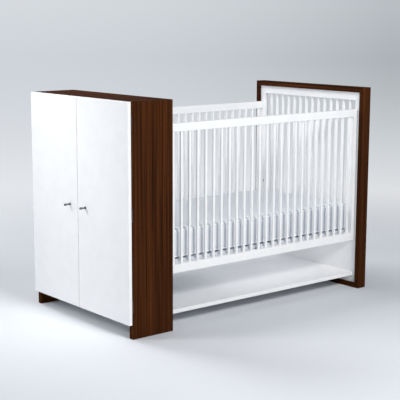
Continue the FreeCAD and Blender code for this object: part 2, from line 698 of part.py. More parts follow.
def door(word, side):
    wide = f"({y_outer} - door_inset - door_split / 2)"
    tall = "(overall_height - door_foot)"
    leaf = doc.addObject("PartDesign::Body", f"{word}_door_leaf")
    outline = sketched(leaf, f"{word}_door_outline", "YZ_Plane", [
        (f"-{wide} / 2", f"-{tall} / 2"), (f"{wide} / 2", f"-{tall} / 2"),
        (f"{wide} / 2", f"{tall} / 2"), (f"-{wide} / 2", f"{tall} / 2")])
    pad = padded(leaf, outline, "door_thick")
    doc.recompute()
    fillet = leaf.newObject("PartDesign::Fillet", f"{word}_door_round")
    fillet.Base = (pad, [f"Edge{number + 1}" for number in range(len(pad.Shape.Edges))])
    bind(fillet, Radius="edge_round")
    place(leaf, x_door, f"{side} * (door_split / 2 + {wide} / 2)", f"door_foot + {tall} / 2")
    tools = knuckle_notches(f"{word}_door", side)
    tools += hinge_screws(f"{word}_door_hole", side, False, "hinge_screw + fit")
    tools.append(knob_screw(f"{word}_knob_bore", side, "knob_screw_radius + fit", "door_thick"))
    node(cut(f"{word}_door", leaf, tools))


def knob(word, side):
    turned = doc.addObject("PartDesign::Body", f"{word}_knob_turned")
    profile = sketched(turned, f"{word}_knob_profile", "XZ_Plane", [
        ("-knob_bore", "knob_screw_radius + fit"), ("-hair", "knob_screw_radius + fit"),
        ("-hair", "knob_rose - rose_bevel"), ("-rose_bevel", "knob_rose"),
        ("-knob_rose_thick", "knob_rose"), ("-knob_rose_thick", "knob_neck"),
        ("-(knob_long - knob_head_long)", "knob_neck"),
        ("-(knob_long - knob_head_long + knob_bevel)", "knob_head"),
        ("-(knob_long - knob_bevel)", "knob_head"), ("-knob_long", "knob_head - knob_bevel"),
        ("-knob_long", "hair"), ("-knob_bore", "hair")])
    spin = turned.newObject("PartDesign::Revolution", f"{word}_knob_spin")
    spin.Profile = profile
    spin.ReferenceAxis = (profile, ["H_Axis"])
    spin.Angle = 360
    place(turned, x_door, f"{side} * knob_off", "knob_up")
    return turned


def knob_screw_with_head(word, side):
    shank = rod(f"{word}_knob_shank", f"{x_door} + door_thick", f"{side} * knob_off", "knob_up",
                "knob_screw_radius", "door_thick + knob_bore - insert_end", along_minus_x)
    head = rod(f"{word}_knob_cap", f"{x_door} + door_thick + knob_cap", f"{side} * knob_off", "knob_up",
               "knob_screw_radius * 2", "knob_cap", along_minus_x)
    node(fuse(f"{word}_knob_screw", [shank, head]))


def leaf_set(name, side, into_case):
    # One leaf for each hinge. The cabinet's carries the outer two knuckles, the door's the middle one.
    leaves = []
    x = f"({door_axis} + hinge_play)" if into_case else f"({door_axis} - hinge_play - hinge_leaf)"
    third = "(hinge_tall / 3)"
    spans = [("0", third), (f"{third} * 2", third)] if into_case else [
        (f"({third} + knuckle_play)", f"({third} - 2 * knuckle_play)")]
    holes = hinge_screws(name + "_hole", side, into_case, "hinge_screw + fit")
    plate_y = f"-{y_outer} + hinge_root" if side < 0 else f"{y_outer} - hinge_wide"
    tab_y = f"-{y_outer}" if side < 0 else f"{y_outer} - hinge_root"
    for index, foot in enumerate(hinge_feet, start=1):
        items = [box(f"{name}_plate_{index}", x, plate_y, foot, "hinge_leaf",
                     "hinge_wide - hinge_root", "hinge_tall")]
        for number, (low, tall) in enumerate(spans, start=1):
            low_z = f"{foot} + {low}"
            items.append(box(f"{name}_tab_{index}_{number}", x, tab_y, low_z, "hinge_leaf",
                             "hinge_root", tall))
            items.append(rod(f"{name}_knuckle_{index}_{number}", door_axis, f"{side} * {y_outer}",
                             low_z, "knuckle_radius", tall))
        solid = fuse(f"{name}_solid_{index}", items)
        bore = rod(f"{name}_bore_{index}", door_axis, f"{side} * {y_outer}", foot, "hinge_pin + fit",
                   "hinge_tall")
        leaves.append(cut(f"{name}_{index}", solid, [bore] + holes[2 * index - 2:2 * index]))
    node(group(name, leaves))


pins = []
case_screws = []
catches = []
for word, side in (("front", -1), ("rear", 1)):
    door(word, side)
    node(knob(word, side)).Label = f"{word}_knob"
    knob_screw_with_head(word, side)
    leaf_set(f"{word}_case_leaves", side, True)
    leaf_set(f"{word}_door_leaves", side, False)
    node(group(f"{word}_door_screws",
               hinge_screws(f"{word}_door_screw", side, False, "hinge_screw")))
    case_screws += hinge_screws(f"{word}_case_screw", side, True, "hinge_screw")
    pins += [rod(f"{word}_pin_{index}", door_axis, f"{side} * {y_outer}", foot, "hinge_pin", "hinge_tall")
             for index, foot in enumerate(hinge_feet, start=1)]
    catch_y = "-catch_in - catch_long" if side < 0 else "catch_in"
    catches.append(box(f"{word}_catch", x_case, catch_y, "overall_height - board - catch_deep",
                       "catch_deep", "catch_long", "catch_deep"))
    node(box(f"{word}_catch_plate", f"{x_door} + door_thick", f"{catch_y} + plate_edge",
             "overall_height - board - catch_deep + plate_thick", "plate_thick",
             "catch_long - 2 * plate_edge", "catch_deep - 2 * plate_thick"))
node(group("hinge_pins", pins))
node(group("case_hinge_screws", case_screws))
node(group("door_catches", catches))


# Check everything, then write one file for each sub-part.

doc.removeObject(scratch.Name)
doc.recompute()
for item in doc.Objects:
    if "Invalid" in item.State or "Error" in item.State:
        raise RuntimeError(f"{item.Name} failed: {item.State}")
os.makedirs("parts", exist_ok=True)
for item in nodes:
    if item.Shape.isNull() or not item.Shape.isValid() or not item.Shape.Solids:
        raise RuntimeError(f"{item.Label} has no sound shape")
    item.Shape.exportStep(f"parts/{item.Label}.step")
    print(f"{item.Label}: {len(item.Shape.Solids)} solids, {item.Shape.Volume / 1000:.1f} cm3")
print(f"{len(nodes)} parts")
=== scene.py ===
import bmesh
import bpy
import json
import math
import numpy as np
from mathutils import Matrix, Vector
from mathutils.bvhtree import BVHTree


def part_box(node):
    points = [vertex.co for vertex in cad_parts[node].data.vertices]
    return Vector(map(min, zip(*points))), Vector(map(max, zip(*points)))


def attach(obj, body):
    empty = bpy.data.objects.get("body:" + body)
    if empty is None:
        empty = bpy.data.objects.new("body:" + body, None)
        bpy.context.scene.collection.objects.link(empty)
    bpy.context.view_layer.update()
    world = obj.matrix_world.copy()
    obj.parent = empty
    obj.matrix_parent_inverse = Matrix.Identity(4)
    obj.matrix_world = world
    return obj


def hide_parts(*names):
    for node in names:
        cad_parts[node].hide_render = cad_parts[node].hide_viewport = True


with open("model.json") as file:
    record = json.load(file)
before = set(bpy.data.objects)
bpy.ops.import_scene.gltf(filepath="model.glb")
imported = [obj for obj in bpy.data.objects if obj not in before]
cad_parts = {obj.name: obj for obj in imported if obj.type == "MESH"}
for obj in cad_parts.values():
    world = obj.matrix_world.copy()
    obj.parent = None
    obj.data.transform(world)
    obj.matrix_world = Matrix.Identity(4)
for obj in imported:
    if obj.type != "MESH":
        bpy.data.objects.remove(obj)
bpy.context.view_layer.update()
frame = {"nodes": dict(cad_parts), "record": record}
nodes = frame["nodes"]
scene = bpy.context.scene
mm = 0.001
print("frame loaded with", len(nodes), "nodes")


# Camera

cameraSet = {
    "place": (-3.6663, -4.4141, 1.5212),  # metres
    "heading": 38.463,  # degrees from +Y towards +X
    "downTilt": 9.76,
    "lens": 96.183,
    "shift": (0.05, 0.0),
}


def makeCamera(s):
    data = bpy.data.cameras.new("cribCamera")
    data.lens = s["lens"]
    data.sensor_width = 36
    data.shift_x, data.shift_y = s["shift"]
    data.clip_end = 200
    camera = bpy.data.objects.new("cribCamera", data)
    camera.location = s["place"]
    camera.rotation_euler = (math.radians(90 - s["downTilt"]), 0, math.radians(-s["heading"]))
    scene.collection.objects.link(camera)
    scene.camera = camera


makeCamera(cameraSet)
print("camera made")


# Node helpers

waveScale = 0.314  # over a spacing in metres, this gives a wave texture one band at each spacing


def linear(hexColour):
    # sRGB hex to linear RGBA
    parts = [int(hexColour[i:i + 2], 16) / 255 for i in (1, 3, 5)]
    return [p / 12.92 if p <= 0.04045 else ((p + 0.055) / 1.055) ** 2.4 for p in parts] + [1.0]


def addNode(tree, kind, settings=None, links=None, out=0):
    # Settings go to properties, or to inputs by name or number, and "stops" fill a colour ramp with
    # places and colours or grey levels. Links join sources to inputs. Gives back one output.
    node = tree.nodes.new(kind)
    for key, item in (settings or {}).items():
        if key == "stops":
            elements = node.color_ramp.elements
            while len(elements) < len(item):
                elements.new(0.5)
            for element, (place, colour) in zip(elements, item):
                element.position = place
                element.color = linear(colour) if isinstance(colour, str) else (colour, colour, colour, 1.0)
        elif isinstance(key, str) and hasattr(node, key):
            setattr(node, key, item)
        else:
            node.inputs[key].default_value = item
    for key, source in (links or {}).items():
        tree.links.new(source, node.inputs[key])
    return node.outputs[out] if len(node.outputs) else None


def newMaterial(name):
    material = bpy.data.materials.new(name)
    material.use_nodes = True
    material.node_tree.nodes.clear()
    return material, material.node_tree


def finishMaterial(tree, settings, links):
    surface = addNode(tree, "ShaderNodeBsdfPrincipled", settings, links)
    addNode(tree, "ShaderNodeOutputMaterial", None, {"Surface": surface})


def objectPlace(tree, scale=(1, 1, 1), move=(0, 0, 0)):
    where = addNode(tree, "ShaderNodeTexCoord", out="Object")
    return addNode(tree, "ShaderNodeMapping", {"Scale": scale, "Location": move}, {"Vector": where})


# Walnut

walnutSet = {
    "light": "#62361A", "middle": "#452613", "dark": "#241009", "pore": "#180A05",
    "streakWidth": 11.0,  # mm across one dark or light streak
    "streakLength": 900.0,
    "ringWidth": 52.0,  # mm across one growth band
    "poreWidth": 0.9, "poreLength": 22.0,  # drawn a little coarser than real pores
    "wander": (3.0, 0.55),  # per metre, how often the grain drifts across and along a board
    "bend": 0.035,  # metres, how far it drifts
}


def stainedWalnut(name, alongY, start, s=walnutSet):
    # Straight-grained walnut veneer, stained dark and sprayed with matt lacquer: long dark and
    # reddish streaks with fine open pores, and hardly any shine
    material, tree = newMaterial(name)

    def alongGrain(across, along):
        return (across, along, across) if alongY else (across, across, along)

    def place(across, along):
        return {"Vector": objectPlace(tree, alongGrain(across, along), start)}

    streaks = addNode(tree, "ShaderNodeTexNoise", {"Scale": 1.0, "Detail": 6.0, "Roughness": 0.62},
                      place(1 / (s["streakWidth"] * mm), 1 / (s["streakLength"] * mm)))
    wander = addNode(tree, "ShaderNodeTexNoise", {"Scale": 1.0, "Detail": 2.0}, place(*s["wander"]), "Color")
    bent = addNode(tree, "ShaderNodeVectorMath", {"operation": "MULTIPLY_ADD", 1: alongGrain(s["bend"], 0.0)},
                   {0: wander, 2: place(1, 0.02)["Vector"]})
    rings = addNode(tree, "ShaderNodeTexWave", {
        "wave_type": "BANDS", "bands_direction": "DIAGONAL", "wave_profile": "SAW",
        "Scale": waveScale / (s["ringWidth"] * mm), "Distortion": 1.5, "Detail": 3.0, "Detail Scale": 2.0},
        {"Vector": bent}, "Fac")
    pores = addNode(tree, "ShaderNodeTexNoise", {"Scale": 1.0, "Detail": 2.0},
                    place(1 / (s["poreWidth"] * mm), 1 / (s["poreLength"] * mm)))
    figure = addNode(tree, "ShaderNodeValToRGB", {
        "stops": [(0.30, s["dark"]), (0.5, s["middle"]), (0.72, s["light"])]}, {0: streaks})
    bands = addNode(tree, "ShaderNodeValToRGB", {"stops": [(0.0, 0.62), (0.75, 1.0), (1.0, 0.74)]},
                    {0: rings})
    banded = addNode(tree, "ShaderNodeMix", {"data_type": "RGBA", "blend_type": "MULTIPLY", 0: 0.7},
                     {6: figure, 7: bands}, 2)
    poreMask = addNode(tree, "ShaderNodeValToRGB", {"stops": [(0.56, 0.0), (0.66, 1.0)]}, {0: pores})
    poreTint = addNode(tree, "ShaderNodeMath", {"operation": "MULTIPLY", 1: 0.45}, {0: poreMask})
    tinted = addNode(tree, "ShaderNodeMix", {"data_type": "RGBA", 7: linear(s["pore"])},
                     {0: poreTint, 6: banded}, 2)
    satin = addNode(tree, "ShaderNodeValToRGB", {"stops": [(0.3, 0.56), (0.7, 0.66)]}, {0: streaks})
    rough = addNode(tree, "ShaderNodeMix", {"data_type": "RGBA", 7: (0.75, 0.75, 0.75, 1.0)},
                    {0: poreMask, 6: satin}, 2)
    height = addNode(tree, "ShaderNodeMath", {"operation": "SUBTRACT", 0: 1.0}, {1: poreMask})
    normal = addNode(tree, "ShaderNodeBump", {"Strength": 0.25, "Distance": 0.0002}, {"Height": height})
    finishMaterial(tree, {"IOR": 1.45, "Specular IOR Level": 0.01},
                   {"Base Color": tinted, "Roughness": rough, "Normal": normal})
    return material


# Lacquer, boards and metal

lacquerSet = {"light": "#FAFAFA", "shade": "#F6F6F6", "mottle": 60.0, "peel": 1.6, "specks": 1000 / 90}  # mm


def whiteLacquer(s=lacquerSet):
    # White satin lacquer sprayed on sanded board: clean, slightly uneven in tone, with the faint
    # orange-peel ripple that softens its highlights
    material, tree = newMaterial("sprayedWhiteLacquer")
    place = {"Vector": objectPlace(tree)}
    mottle = addNode(tree, "ShaderNodeTexNoise", {"Scale": 1 / (s["mottle"] * mm), "Detail": 3.0}, place)
    tone = addNode(tree, "ShaderNodeValToRGB", {"stops": [(0.3, s["shade"]), (0.7, s["light"])]}, {0: mottle})
    peel = addNode(tree, "ShaderNodeTexNoise", {"Scale": 1 / (s["peel"] * mm), "Detail": 1.0}, place)
    specks = addNode(tree, "ShaderNodeTexNoise", {"Scale": 1 / (s["specks"] * mm), "Detail": 4.0}, place)
    rough = addNode(tree, "ShaderNodeValToRGB", {"stops": [(0.3, 0.36), (0.7, 0.46)]}, {0: specks})
    normal = addNode(tree, "ShaderNodeBump", {"Strength": 0.12, "Distance": 0.0001}, {"Height": peel})
    finishMaterial(tree, {
        "IOR": 1.49, "Coat Weight": 0.08, "Coat Roughness": 0.25, "Specular IOR Level": 0.35},
                   {"Base Color": tone, "Roughness": rough, "Normal": normal})
    return material


beechSet = {
    "dark": "#A9794F", "middle": "#CDA47A", "light": "#DAB892",
    "fleckWidth": 1000 / 900, "fleckLength": 1000 / 160,  # mm
}


def plainBeech(s=beechSet):
    # Turned beech dowels: pale pinkish wood with short brown flecks along the grain
    material, tree = newMaterial("turnedBeech")
    across, along = 1 / (s["fleckWidth"] * mm), 1 / (s["fleckLength"] * mm)
    flecks = addNode(tree, "ShaderNodeTexNoise", {"Scale": 1.0, "Detail": 4.0},
                     {"Vector": objectPlace(tree, (across, across, along))})
    colour = addNode(tree, "ShaderNodeValToRGB", {
        "stops": [(0.35, s["dark"]), (0.55, s["middle"]), (0.7, s["light"])]}, {0: flecks})
    normal = addNode(tree, "ShaderNodeBump", {"Strength": 0.2, "Distance": 0.0002}, {"Height": flecks})
    finishMaterial(tree, {"Roughness": 0.55, "IOR": 1.5}, {"Base Color": colour, "Normal": normal})
    return material


# Grey-blue tone darker than the white parts: partly the board's paint, partly painted shade for its shadowed
# edge under the mattress
boardPaintAndShadeSet = {"light": "#DCE0E7", "dark": "#CFD4DC", "cover": 1000 / 14, "nap": 2.2}  # mm


def greyBoardAndPaintedShade(s=boardPaintAndShadeSet):
    # Plywood with a rolled coat of matt grey paint: soft pebbled nap and slightly uneven cover. Its grey-blue
    # tone, darker than the white lacquer, is partly painted shade for the support's edge, seen in shadow
    # between the slats under the mattress
    material, tree = newMaterial("plywoodGreyAndPaintedShade")
    place = {"Vector": objectPlace(tree)}
    cover = addNode(tree, "ShaderNodeTexNoise", {"Scale": 1 / (s["cover"] * mm), "Detail": 4.0}, place)
    nap = addNode(tree, "ShaderNodeTexNoise", {"Scale": 1 / (s["nap"] * mm), "Detail": 2.0}, place)
    colour = addNode(tree, "ShaderNodeValToRGB", {"stops": [(0.3, s["dark"]), (0.7, s["light"])]}, {0: cover})
    rough = addNode(tree, "ShaderNodeValToRGB", {"stops": [(0.3, 0.6), (0.7, 0.75)]}, {0: nap})
    normal = addNode(tree, "ShaderNodeBump", {"Strength": 0.25, "Distance": 0.0003}, {"Height": nap})
    finishMaterial(tree, {"IOR": 1.47, "Specular IOR Level": 0.3},
                   {"Base Color": colour, "Roughness": rough, "Normal": normal})
    return material


nickelSet = {"dark": "#6F7075", "light": "#8C8D92", "ring": 0.5, "haze": 1000 / 260}  # mm


def darkNickel(s=nickelSet):
    # Turned brass with dark nickel plating: a mirror-like grey with faint lathe rings
    material, tree = newMaterial("darkNickelPlate")
    place = {"Vector": objectPlace(tree)}
    rings = addNode(tree, "ShaderNodeTexWave", {
        "bands_direction": "X", "Scale": waveScale / (s["ring"] * mm), "Distortion": 0.3}, place, "Fac")
    haze = addNode(tree, "ShaderNodeTexNoise", {"Scale": 1 / (s["haze"] * mm), "Detail": 3.0}, place)
    colour = addNode(tree, "ShaderNodeValToRGB", {"stops": [(0.3, s["dark"]), (0.7, s["light"])]}, {0: haze})
    rough = addNode(tree, "ShaderNodeValToRGB", {"stops": [(0.3, 0.14), (0.7, 0.26)]}, {0: haze})
    normal = addNode(tree, "ShaderNodeBump", {"Strength": 0.1, "Distance": 0.00005}, {"Height": rings})
    finishMaterial(tree, {"Metallic": 1.0}, {"Base Color": colour, "Roughness": rough, "Normal": normal})
    return material


zincSet = {"dark": "#9FA3A8", "light": "#C3C6CA", "patch": 3.5, "mottle": 1000 / 700}  # mm


def zincPlate(s=zincSet):
    # Rolled steel with bright zinc plating: cool grey patches of slightly different tone and gloss
    material, tree = newMaterial("zincPlatedSteel")
    place = {"Vector": objectPlace(tree)}
    patches = addNode(tree, "ShaderNodeTexVoronoi", {"Scale": 1 / (s["patch"] * mm)}, place, "Color")
    mottle = addNode(tree, "ShaderNodeTexNoise", {"Scale": 1 / (s["mottle"] * mm), "Detail": 2.0}, place)
    tone = addNode(tree, "ShaderNodeSeparateColor", None, {0: patches})
    colour = addNode(tree, "ShaderNodeValToRGB", {"stops": [(0.0, s["dark"]), (1.0, s["light"])]}, {0: tone})
    rough = addNode(tree, "ShaderNodeValToRGB", {"stops": [(0.3, 0.28), (0.7, 0.42)]}, {0: mottle})
    normal = addNode(tree, "ShaderNodeBump", {"Strength": 0.1, "Distance": 0.00005}, {"Height": mottle})
    finishMaterial(tree, {"Metallic": 1.0}, {"Base Color": colour, "Roughness": rough, "Normal": normal})
    return material


plasticSet = {"dark": "#E4E4E2", "light": "#F0F0EE", "spark": 0.6}  # mm


def catchPlastic(s=plasticSet):
    # Injection-moulded ABS: off-white with a fine even spark texture
    material, tree = newMaterial("mouldedAbs")
    spark = addNode(tree, "ShaderNodeTexNoise", {"Scale": 1 / (s["spark"] * mm), "Detail": 2.0},
                    {"Vector": objectPlace(tree)})
    colour = addNode(tree, "ShaderNodeValToRGB", {"stops": [(0.3, s["dark"]), (0.7, s["light"])]}, {0: spark})
    rough = addNode(tree, "ShaderNodeValToRGB", {"stops": [(0.3, 0.42), (0.7, 0.55)]}, {0: spark})
    normal = addNode(tree, "ShaderNodeBump", {"Strength": 0.15, "Distance": 0.0001}, {"Height": spark})
    finishMaterial(tree, {"IOR": 1.53}, {"Base Color": colour, "Roughness": rough, "Normal": normal})
    return material


# Cloth and thread

clothSet = {
    "thread": 1.6,  # mm between threads, drawn coarser than the real 0.4
    "dotPitch": 9.0,  # mm between dots
    "soil": 1000 / 7,  # mm, patches of slightly different tone
    "cloth": "#E2E5EA", "valley": "#CED3DA", "dot": "#EFF1F4",
}


def dottedCotton(s=clothSet):
    # Close-woven cotton ticking with a small raised dot: matt, with a fine crossed-thread
    # texture and rows of paler dots; threads follow the cover's own UV map in metres
    material, tree = newMaterial("dottedCotton")
    uv = addNode(tree, "ShaderNodeUVMap", {"uv_map": "cloth"})
    threads = [addNode(tree, "ShaderNodeTexWave", {
        "bands_direction": direction, "Scale": waveScale / (s["thread"] * mm), "Distortion": 0.25,
        "Detail": 1.0}, {"Vector": uv}, "Fac") for direction in ("X", "Y")]
    weave = addNode(tree, "ShaderNodeMath", {"operation": "MAXIMUM"}, {0: threads[0], 1: threads[1]})
    slanted = addNode(tree, "ShaderNodeMapping", {"Rotation": (0, 0, math.radians(45))}, {"Vector": uv})
    dots = addNode(tree, "ShaderNodeTexVoronoi", {
        "voronoi_dimensions": "2D", "Scale": 1 / (s["dotPitch"] * mm), "Randomness": 0.0},
        {"Vector": slanted}, "Distance")
    dotMask = addNode(tree, "ShaderNodeValToRGB", {"stops": [(0.16, 1.0), (0.26, 0.0)]}, {0: dots})
    soil = addNode(tree, "ShaderNodeTexNoise", {"Scale": 1 / (s["soil"] * mm), "Detail": 4.0}, {"Vector": uv})
    soilTone = addNode(tree, "ShaderNodeValToRGB", {"stops": [(0.3, 0.93), (0.7, 1.0)]}, {0: soil})
    base = addNode(tree, "ShaderNodeValToRGB", {"stops": [(0.35, s["valley"]), (0.9, s["cloth"])]},
                   {0: weave})
    patchy = addNode(tree, "ShaderNodeMix", {"data_type": "RGBA", "blend_type": "MULTIPLY", 0: 0.5},
                     {6: base, 7: soilTone}, 2)
    colour = addNode(tree, "ShaderNodeMix", {"data_type": "RGBA", 7: linear(s["dot"])},
                     {0: dotMask, 6: patchy}, 2)
    rough = addNode(tree, "ShaderNodeValToRGB", {"stops": [(0.3, 0.95), (0.9, 0.8)]}, {0: weave})
    height = addNode(tree, "ShaderNodeMath", {"operation": "ADD"}, {0: weave, 1: dotMask})
    normal = addNode(tree, "ShaderNodeBump", {"Strength": 0.35, "Distance": 0.0004}, {"Height": height})
    finishMaterial(tree, {"IOR": 1.5, "Sheen Weight": 0.25, "Sheen Roughness": 0.5},
                   {"Base Color": colour, "Roughness": rough, "Normal": normal})
    return material


pipingSet = {"dark": "#F1F2F4", "light": "#FFFFFF", "rib": 1.4}  # mm between ribs


def pipingCotton(s=pipingSet):
    # Bias-cut cotton over a cord: bright white, with fine ribs round the cord
    material, tree = newMaterial("cottonPiping")
    ribs = addNode(tree, "ShaderNodeTexWave", {
        "bands_direction": "DIAGONAL", "Scale": waveScale / (s["rib"] * mm), "Distortion": 0.5},
        {"Vector": objectPlace(tree)}, "Fac")
    colour = addNode(tree, "ShaderNodeValToRGB", {"stops": [(0.2, s["dark"]), (0.8, s["light"])]}, {0: ribs})
    rough = addNode(tree, "ShaderNodeValToRGB", {"stops": [(0.2, 0.85), (0.8, 0.7)]}, {0: ribs})
    normal = addNode(tree, "ShaderNodeBump", {"Strength": 0.3, "Distance": 0.0002}, {"Height": ribs})
    finishMaterial(tree, {"IOR": 1.5, "Sheen Weight": 0.8, "Sheen Roughness": 0.4},
                   {"Base Color": colour, "Roughness": rough, "Normal": normal})
    return material


threadSet = {"dark": "#D9DCE0", "light": "#F6F7F8", "twist": 0.8}  # mm between turns


def stitchThread(s=threadSet):
    # Polyester sewing thread: a small silky sheen over twisted strands
    material, tree = newMaterial("sewingThread")
    twist = addNode(tree, "ShaderNodeTexWave", {
        "bands_direction": "DIAGONAL", "Scale": waveScale / (s["twist"] * mm)},
        {"Vector": objectPlace(tree)}, "Fac")
    colour = addNode(tree, "ShaderNodeValToRGB", {"stops": [(0.2, s["dark"]), (0.8, s["light"])]}, {0: twist})
    rough = addNode(tree, "ShaderNodeValToRGB", {"stops": [(0.2, 0.6), (0.8, 0.45)]}, {0: twist})
    finishMaterial(tree, {"IOR": 1.55, "Sheen Weight": 0.3}, {"Base Color": colour, "Roughness": rough})
    return material


zinc = zincPlate()
cotton = dottedCotton()
piping = pipingCotton()
thread = stitchThread()
slotMaterials = {
    "white_lacquer": whiteLacquer(), "dark_chrome": darkNickel(), "steel": zinc, "beech": plainBeech(),
    "grey_board": greyBoardAndPaintedShade(), "catch_plastic": catchPlastic(), "mattress_fabric": cotton,
}

# Each walnut board is its own plank: whether its grain runs along Y, and where its figure starts
walnutBoards = {
    "end_top_board": (True, (0.3, 0.1, 2.0)), "end_bottom_board": (True, (1.1, 0.7, 4.0)),
    "end_front_post": (False, (2.3, 0.4, 1.0)), "end_rear_post": (False, (3.9, 1.6, 7.0)),
    "case_front_side": (False, (5.2, 2.1, 3.0)), "case_rear_side": (False, (6.4, 0.9, 5.0)),
    "case_top_board": (True, (7.7, 3.3, 9.0)),
}
for item in frame["record"]["subparts"]:
    name = item["node"]
    if name in walnutBoards:
        material = stainedWalnut("stainedWalnut_" + name, *walnutBoards[name])
    else:
        material = slotMaterials[item["material_slot"]]
    mesh = nodes[name].data
    mesh.materials.clear()
    mesh.materials.append(material)
print("materials given to", len(nodes), "nodes")


# Pieces

def newObject(name, mesh, material, body):
    piece = bpy.data.objects.new(name, mesh)
    scene.collection.objects.link(piece)
    mesh.materials.clear()
    mesh.materials.append(material)
    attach(piece, body)
    return piece


def islands(mesh):
    # The lowest and highest corner of each separate solid in a CAD node's loose triangles
    points = np.array([v.co for v in mesh.vertices])
    keys, index = np.unique(np.round(points, 6), axis=0, return_inverse=True)
    index = index.ravel()
    parent = list(range(len(keys)))

    def root(k):
        while parent[k] != k:
            parent[k] = parent[parent[k]]
            k = parent[k]
        return k

    for edge in mesh.edges:
        a, b = root(index[edge.vertices[0]]), root(index[edge.vertices[1]])
        if a != b:
            parent[a] = b
    sets = {}
    for k in range(len(keys)):
        sets.setdefault(root(k), []).append(k)
    found = [(keys[members].min(0), keys[members].max(0)) for members in sets.values()]
    return sorted(found, key=lambda pair: tuple(np.round(pair[0], 4)))


def socketId(tree, label):
    return [item.identifier for item in tree.interface.items_tree if item.name == label][0]


def newTree(name, inputs, output):
    tree = bpy.data.node_groups.new(name, "GeometryNodeTree")
    for label, kind in inputs:
        tree.interface.new_socket(label, in_out="INPUT", socket_type=kind)
    tree.interface.new_socket(output, in_out="OUTPUT", socket_type="NodeSocketGeometry")
    return tree, addNode(tree, "NodeGroupInput").node.outputs


def finishTree(tree, geometry, material):
    real = addNode(tree, "GeometryNodeRealizeInstances", None, {0: geometry})
    painted = addNode(tree, "GeometryNodeSetMaterial", {"Material": material}, {"Geometry": real})
    addNode(tree, "NodeGroupOutput", None, {0: painted})
    return tree


def grown(name, source, tree, values, material, body):
    # Runs a tree on a source mesh and keeps the result as a plain mesh
    carrier = bpy.data.objects.new(name + "_carrier", source)
    scene.collection.objects.link(carrier)
    modifier = carrier.modifiers.new("grow", "NODES")
    modifier.node_group = tree
    for label, item in values.items():
        modifier[socketId(tree, label)] = item
    bpy.context.view_layer.update()
    graph = bpy.context.evaluated_depsgraph_get()
    mesh = bpy.data.meshes.new_from_object(carrier.evaluated_get(graph))
    mesh.name = name
    carrier.modifiers.remove(modifier)
    bpy.data.objects.remove(carrier)
    return newObject(name, mesh, material, body)


# Fasteners

# One for each kind, in mm: radii of shank and head, height of the head, and its hexagon or cross socket
fastenerSet = {
    "rail_bolts": {"shank": 3.0, "head": 6.0, "tall": 4.0, "flats": 4.0, "deep": 2.6},
    "bracket_bolts": {"shank": 3.0, "head": 6.0, "tall": 4.0, "flats": 4.0, "deep": 2.6},
    "shelf_screws": {"shank": 2.5, "head": 5.0, "tall": 2.0, "reach": 2.4, "width": 0.7, "deep": 1.2},
    "front_knob_screw": {"shank": 2.0, "head": 4.0, "tall": 1.6, "reach": 2.0, "width": 0.6, "deep": 0.9},
    "rear_knob_screw": {"shank": 2.0, "head": 4.0, "tall": 1.6, "reach": 2.0, "width": 0.6, "deep": 0.9},
}
threadPitch, threadCrest, threadRoot = 1.0, 0.35, 0.86  # mm, mm, share of the shank's radius
headRounding = 0.22  # share of the head's height
bodyOf = {node: body for body, members in frame["record"]["behaviour"]["bodies"].items() for node in members}
cribMiddle = 0.12  # metres along X, between the two ends


def turned(rings, count=32):
    # A closed solid of rings up the Z axis, each a height and a radius or a function of the angle
    bm = bmesh.new()
    loops = []
    for height, radius in rings:
        loop = []
        for k in range(count):
            angle = 2 * math.pi * k / count
            r = radius(angle) if callable(radius) else radius
            loop.append(bm.verts.new((r * math.cos(angle), r * math.sin(angle), height)))
        loops.append(loop)
    for low, high in zip(loops, loops[1:]):
        for k in range(count):
            bm.faces.new((low[k], low[(k + 1) % count], high[(k + 1) % count], high[k]))
    bm.faces.new(loops[0][::-1])
    bm.faces.new(loops[-1])
    bmesh.ops.recalc_face_normals(bm, faces=bm.faces)
    mesh = bpy.data.meshes.new("turned")
    bm.to_mesh(mesh)
    bm.free()
    return mesh


def hexSocket(acrossFlats):
    return lambda a: acrossFlats / 2 / math.cos((a + math.pi / 6) % (math.pi / 3) - math.pi / 6)


def crossSocket(reach, width):
    def radius(a):
        c, s = max(abs(math.cos(a)), 1e-6), max(abs(math.sin(a)), 1e-6)
        return max(min(reach / c, width / s), min(width / c, reach / s))
    return radius


def fastenerMesh(s, length):
    # Along +Z from the tip of its shank to the top of its head, with a rolled thread drawn as rings
    socket = hexSocket(s["flats"] * mm) if "flats" in s else crossSocket(s["reach"] * mm, s["width"] * mm)
    shank, head, tall, deep = (s[k] * mm for k in ("shank", "head", "tall", "deep"))
    rim = min(tall, head) * headRounding
    tip = shank * 0.3
    threadEnd = length - tall
    turns = int((threadEnd - 2 * shank) / (threadPitch * mm))
    rings = [(0, shank * 0.75), (tip, shank)]
    for k in range(turns):
        z = tip + (k + 0.5) * (threadEnd - shank) / turns
        rings += [(z, shank), (z + threadCrest * mm, shank * threadRoot)]
    rings += [(threadEnd, shank), (threadEnd, head - rim), (threadEnd + rim * 0.5, head),
              (length - rim, head), (length, head - rim), (length, socket), (length - deep, socket)]
    return turned(rings)


def fastenerTree(material):
    # Puts a copy of one fastener at each point, its axis along the point's own direction
    tree, given = newTree("fastenersAtPoints", (
        ("Places", "NodeSocketGeometry"), ("Fastener", "NodeSocketObject"), ("Size", "NodeSocketFloat")),
        "Fasteners")
    aim = addNode(tree, "GeometryNodeInputNamedAttribute", {"data_type": "FLOAT_VECTOR", "Name": "aim"})
    align = addNode(tree, "FunctionNodeAlignEulerToVector", {"axis": "Z"}, {"Vector": aim})
    one = addNode(tree, "GeometryNodeObjectInfo", None, {"Object": given["Fastener"]}, "Geometry")
    copies = addNode(tree, "GeometryNodeInstanceOnPoints", None, {
        "Points": given["Places"], "Instance": one, "Rotation": align, "Scale": given["Size"]})
    return finishTree(tree, copies, material)


def pointCloud(name, points, aims):
    mesh = bpy.data.meshes.new(name)
    mesh.from_pydata([tuple(p) for p in points], [], [])
    layer = mesh.attributes.new("aim", "FLOAT_VECTOR", "POINT")
    layer.data.foreach_set("vector", np.array(aims, np.float32).ravel())
    return mesh


